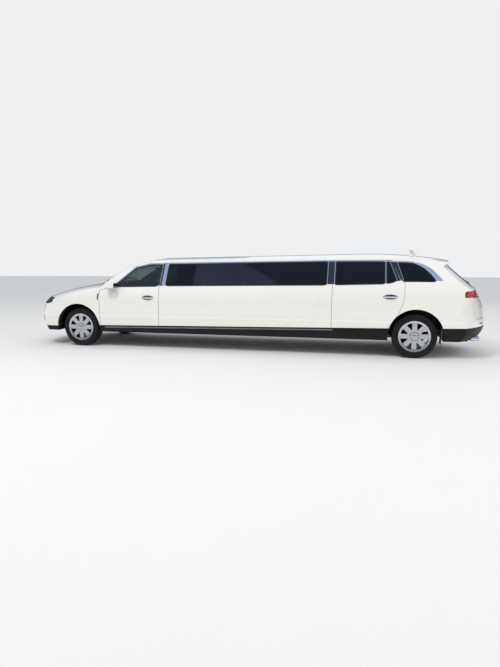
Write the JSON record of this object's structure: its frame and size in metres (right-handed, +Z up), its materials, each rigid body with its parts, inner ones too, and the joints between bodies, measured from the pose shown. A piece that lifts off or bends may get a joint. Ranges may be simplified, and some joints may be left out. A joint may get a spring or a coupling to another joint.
{
  "type": "stretch limousine",
  "caption": "Long white family-wagon limousine with tinted glass; its wheels roll and steer, and its doors, hood and tailgate open.",
  "frame": {"origin": "on the ground, midway between the ends and the sides", "axes": "+X to the front, +Y to the car's left, +Z up"},
  "size_m": [8.3276, 2.16, 1.796],
  "materials": {
    "paint": "gloss white",
    "dark_glass": "dark tint",
    "clear_glass": "light tint",
    "cladding": "grained",
    "lamp_red": "gloss",
    "lamp_clear": "gloss",
    "bright_trim": "polished",
    "tyre_rubber": "matt",
    "alloy": "machined",
    "steel": "dark",
    "underbody": "matt",
    "engine_iron": "cast",
    "trim_plastic": "satin",
    "seat_leather": "satin"
  },
  "bodies": {
    "body": {"antenna": "paint", "bulkhead": "underbody", "dashboard": "trim_plastic", "engine_block": "engine_iron", "exhaust": "steel", "floor_pan": "underbody", "front_bumper": "paint", "front_fender_left": "paint", "front_fender_right": "paint", "front_seats": "seat_leather", "front_subframe": "steel", "grille": "bright_trim", "headlamps": "lamp_clear", "lower_cladding": "cladding", "mud_flaps": "cladding", "partition": "trim_plastic", "rear_axle": "steel", "rear_bench": "seat_leather", "rear_bumper": "paint", "rear_quarter_left": "paint", "rear_quarter_right": "paint", "roof": "paint", "side_bench": "seat_leather", "side_glass": "dark_glass", "stretch_panel_left": "paint", "stretch_panel_right": "paint", "tail_lamps": "lamp_red", "wheelhouse_liners": "cladding", "windscreen": "clear_glass"},
    "front_left_wheel": {"front_tyre_left": "tyre_rubber", "front_rim_left": "alloy"},
    "front_right_wheel": {"front_tyre_right": "tyre_rubber", "front_rim_right": "alloy"},
    "rear_left_wheel": {"rear_tyre_left": "tyre_rubber", "rear_rim_left": "alloy"},
    "rear_right_wheel": {"rear_tyre_right": "tyre_rubber", "rear_rim_right": "alloy"},
    "left_knuckle": {"knuckle_left": "steel"},
    "right_knuckle": {"knuckle_right": "steel"},
    "left_front_door": {"front_door_left": "paint", "front_door_glass_left": "clear_glass", "mirror_left": "paint"},
    "right_front_door": {"front_door_right": "paint", "front_door_glass_right": "clear_glass", "mirror_right": "paint"},
    "left_rear_door": {"rear_door_left": "paint", "rear_door_glass_left": "dark_glass"},
    "right_rear_door": {"rear_door_right": "paint", "rear_door_glass_right": "dark_glass"},
    "hood": {"hood": "paint"},
    "tailgate": {"tailgate": "paint", "tailgate_glass": "dark_glass", "tailgate_lamp": "lamp_red"}
  },
  "joints": [
    {"name": "steer_left", "type": "hinge", "parent": "body", "child": "left_knuckle", "pos_m": [3.1105, 0.745, 0.36], "axis": [0, 0, 1], "range_deg": [-35, 35]},
    {"name": "steer_right", "type": "hinge", "parent": "body", "child": "right_knuckle", "pos_m": [3.1105, -0.745, 0.36], "axis": [0, 0, 1], "range_deg": [-35, 35]},
    {"name": "front_left_spin", "type": "hinge", "parent": "left_knuckle", "child": "front_left_wheel", "pos_m": [3.1105, 0.838, 0.36], "axis": [0, 1, 0], "continuous": true},
    {"name": "front_right_spin", "type": "hinge", "parent": "right_knuckle", "child": "front_right_wheel", "pos_m": [3.1105, -0.838, 0.36], "axis": [0, 1, 0], "continuous": true},
    {"name": "rear_left_spin", "type": "hinge", "parent": "body", "child": "rear_left_wheel", "pos_m": [-2.9325, 0.838, 0.36], "axis": [0, 1, 0], "continuous": true},
    {"name": "rear_right_spin", "type": "hinge", "parent": "body", "child": "rear_right_wheel", "pos_m": [-2.9325, -0.838, 0.36], "axis": [0, 1, 0], "continuous": true},
    {"name": "left_front_door_hinge", "type": "hinge", "parent": "body", "child": "left_front_door", "pos_m": [2.693, 0.971, 0.8], "axis": [0, 0, -1], "range_deg": [0, 65]},
    {"name": "right_front_door_hinge", "type": "hinge", "parent": "body", "child": "right_front_door", "pos_m": [2.693, -0.971, 0.8], "axis": [0, 0, 1], "range_deg": [0, 65]},
    {"name": "left_rear_door_hinge", "type": "hinge", "parent": "body", "child": "left_rear_door", "pos_m": [-1.599, 0.971, 0.8], "axis": [0, 0, -1], "range_deg": [0, 70]},
    {"name": "right_rear_door_hinge", "type": "hinge", "parent": "body", "child": "right_rear_door", "pos_m": [-1.599, -0.971, 0.8], "axis": [0, 0, 1], "range_deg": [0, 70]},
    {"name": "hood_hinge", "type": "hinge", "parent": "body", "child": "hood", "pos_m": [2.837, 0, 1.185], "axis": [0, -1, 0], "range_deg": [0, 50]},
    {"name": "tailgate_hinge", "type": "hinge", "parent": "body", "child": "tailgate", "pos_m": [-3.362, 0, 1.62], "axis": [0, 1, 0], "range_deg": [0, 80]}
  ],
  "couplings": [
    {"joint": "steer_right", "follows": "steer_left", "ratio": 1}
  ]
}
